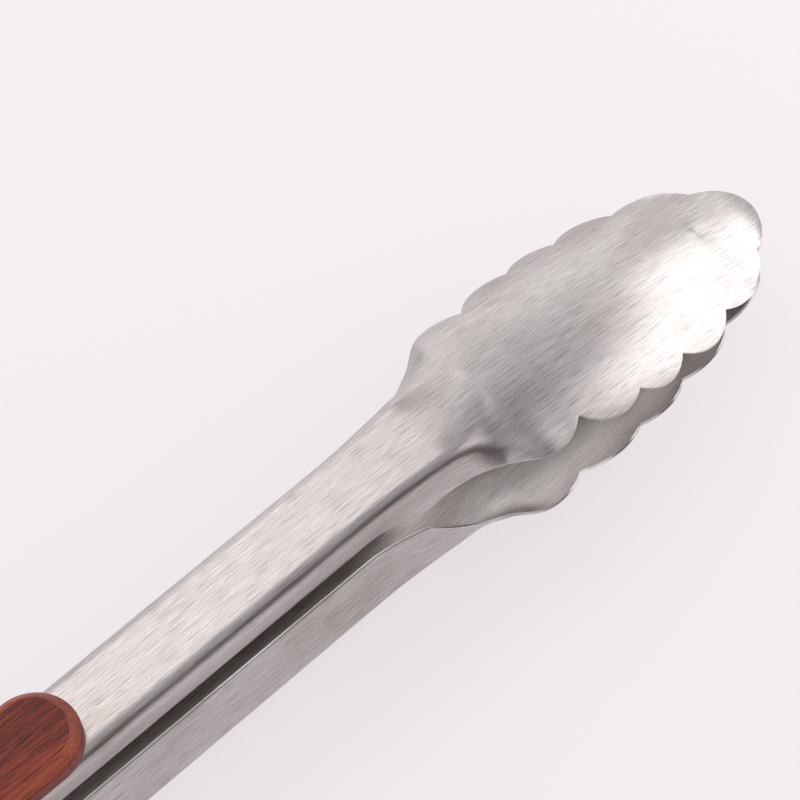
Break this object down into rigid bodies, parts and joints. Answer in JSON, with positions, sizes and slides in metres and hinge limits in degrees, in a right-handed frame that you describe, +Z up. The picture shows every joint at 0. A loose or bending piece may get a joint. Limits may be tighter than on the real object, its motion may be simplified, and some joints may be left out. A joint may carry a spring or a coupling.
{
  "type": "kitchen tongs",
  "caption": "Locking kitchen tongs: steel channel arms with scalloped dished heads, wooden grips, a sprung hinge and a pull lock.",
  "frame": {"origin": "on the surface that the tongs lie on, under the middle of their closed length", "axes": "+X along the tongs towards the heads, +Y across them along the hinge pin, +Z up through both closed arms"},
  "size_m": [0.305, 0.0456, 0.049],
  "materials": {
    "arm_steel": "brushed along the arm, fine scratches",
    "grip_wood": "oiled reddish-brown hardwood, bevelled edges",
    "rivet_steel": "satin, ground flush with the wood",
    "pin_steel": "turned and polished",
    "spring_steel": "drawn spring wire",
    "lock_steel": "pressed and tumbled"
  },
  "bodies": {
    "lower_half": {"lower_arm": "arm_steel", "lower_grip": "grip_wood", "lower_front_rivet": "rivet_steel", "lower_rear_rivet": "rivet_steel", "lower_front_burr": "rivet_steel", "lower_rear_burr": "rivet_steel", "hinge_pin": "pin_steel", "hinge_pin_cap": "pin_steel", "left_hinge_washer": "pin_steel", "right_hinge_washer": "pin_steel", "spacer_tube": "pin_steel", "torsion_spring": "spring_steel", "guide_pin": "pin_steel"},
    "upper_half": {"upper_arm": "arm_steel", "upper_grip": "grip_wood", "upper_front_rivet": "rivet_steel", "upper_rear_rivet": "rivet_steel", "upper_front_burr": "rivet_steel", "upper_rear_burr": "rivet_steel"},
    "lock": {"lock_slide": "lock_steel"}
  },
  "joints": [
    {"name": "arm_open", "type": "hinge", "parent": "lower_half", "child": "upper_half", "pos_m": [-0.1205, 0, 0.0245], "axis": [0, -1, 0], "range_deg": [0, 28], "deforming": ["torsion_spring"]},
    {"name": "lock_push", "type": "slide", "parent": "lower_half", "child": "lock", "axis": [1, 0, 0], "range_m": [0, 0.008]}
  ],
  "couplings": [
    {"joint": "lock_push", "follows": "arm_open", "m_per_rad": 0.01637}
  ]
}
